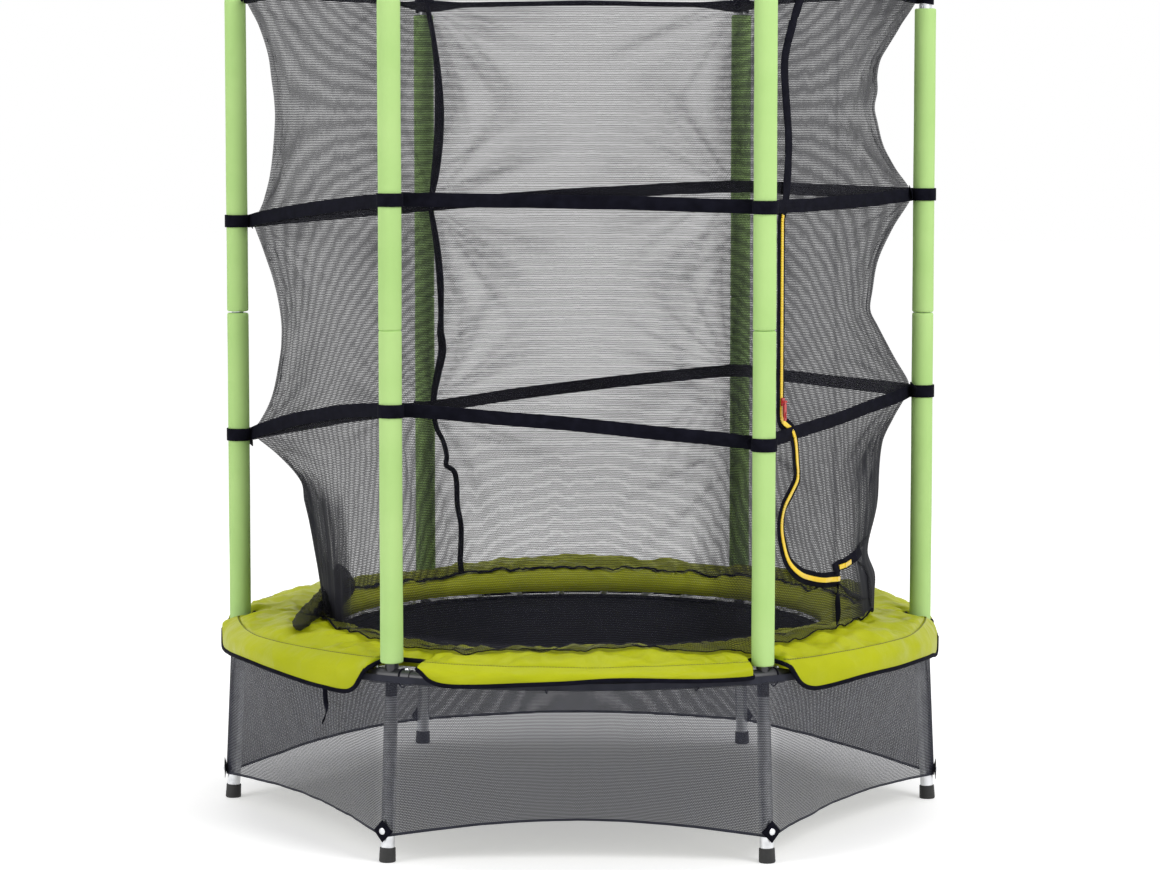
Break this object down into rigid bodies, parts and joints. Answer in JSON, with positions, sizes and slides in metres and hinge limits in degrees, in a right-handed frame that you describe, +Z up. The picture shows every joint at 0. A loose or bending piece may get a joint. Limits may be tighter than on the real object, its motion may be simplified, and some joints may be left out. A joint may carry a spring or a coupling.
{
  "type": "enclosed trampoline",
  "caption": "Round trampoline for children, with a sprung mat, a flapped safety pad, foam-sleeved poles, an enclosure net with a zip, and a skirt.",
  "frame": {"origin": "on the floor, at the centre of the ring of legs", "axes": "+Z up, +X from the centre to the first pole, the other poles follow anticlockwise seen from above; the front is -Y"},
  "size_m": [1.408, 1.4, 1.6],
  "materials": {
    "black_paint": "satin",
    "galvanised": "satin",
    "rubber_black": "matte",
    "foam_green": "matte",
    "mat_black": "matte",
    "pad_lime": "satin",
    "webbing": "matte",
    "net_mesh": "matte",
    "skirt_mesh": "matte",
    "zip_yellow": "gloss",
    "pull_red": "gloss"
  },
  "bodies": {
    "frame": {"frame_rail_1": "black_paint", "t_joint_1": "black_paint", "leg_1": "galvanised", "pole_lower_1": "galvanised", "pole_upper_1": "galvanised", "net_panel_1": "net_mesh", "frame_rail_2": "black_paint", "t_joint_2": "black_paint", "leg_2": "galvanised", "pole_lower_2": "galvanised", "pole_upper_2": "galvanised", "net_panel_2": "net_mesh", "frame_rail_3": "black_paint", "t_joint_3": "black_paint", "leg_3": "galvanised", "pole_lower_3": "galvanised", "pole_upper_3": "galvanised", "net_panel_3": "net_mesh", "frame_rail_4": "black_paint", "t_joint_4": "black_paint", "leg_4": "galvanised", "pole_lower_4": "galvanised", "pole_upper_4": "galvanised", "net_panel_4": "net_mesh", "frame_rail_5": "black_paint", "t_joint_5": "black_paint", "leg_5": "galvanised", "pole_lower_5": "galvanised", "pole_upper_5": "galvanised", "net_panel_5": "net_mesh", "frame_rail_6": "black_paint", "t_joint_6": "black_paint", "leg_6": "galvanised", "pole_lower_6": "galvanised", "pole_upper_6": "galvanised", "net_panel_6": "net_mesh", "foot_caps": "rubber_black", "foam_sleeves_lower": "foam_green", "foam_sleeves_upper": "foam_green", "pole_caps": "rubber_black", "joint_screws": "galvanised", "springs": "galvanised", "safety_pad": "pad_lime", "pad_piping": "webbing", "pad_ties": "webbing", "net_top_hem": "webbing", "net_band_upper": "webbing", "net_band_lower": "webbing", "pole_loops": "webbing", "net_seam_tape": "webbing", "zip_tape": "webbing", "zip_coil": "zip_yellow", "skirt_net": "skirt_mesh", "skirt_tabs": "webbing", "skirt_snaps": "galvanised", "tie_straps": "webbing"},
    "mat": {"jump_mat": "mat_black", "mat_rings": "galvanised"},
    "slider": {"zip_slider": "pull_red"},
    "pull": {"zip_pull": "pull_red"}
  },
  "joints": [
    {"name": "mat_bounce", "type": "slide", "parent": "frame", "child": "mat", "axis": [0, 0, 1], "range_m": [-0.12, 0], "stiffness_N_per_m": 6000, "springref_m": 0.006, "deforming": ["springs"]},
    {"name": "zip_slide", "type": "slide", "parent": "frame", "child": "slider", "axis": [0, 0, 1], "range_m": [-0.03, 0.32]},
    {"name": "pull_swing", "type": "hinge", "parent": "slider", "child": "pull", "pos_m": [0.37593, -0.47728, 0.822], "axis": [-0.5, -0.866, 0], "range_deg": [0, 165]}
  ]
}
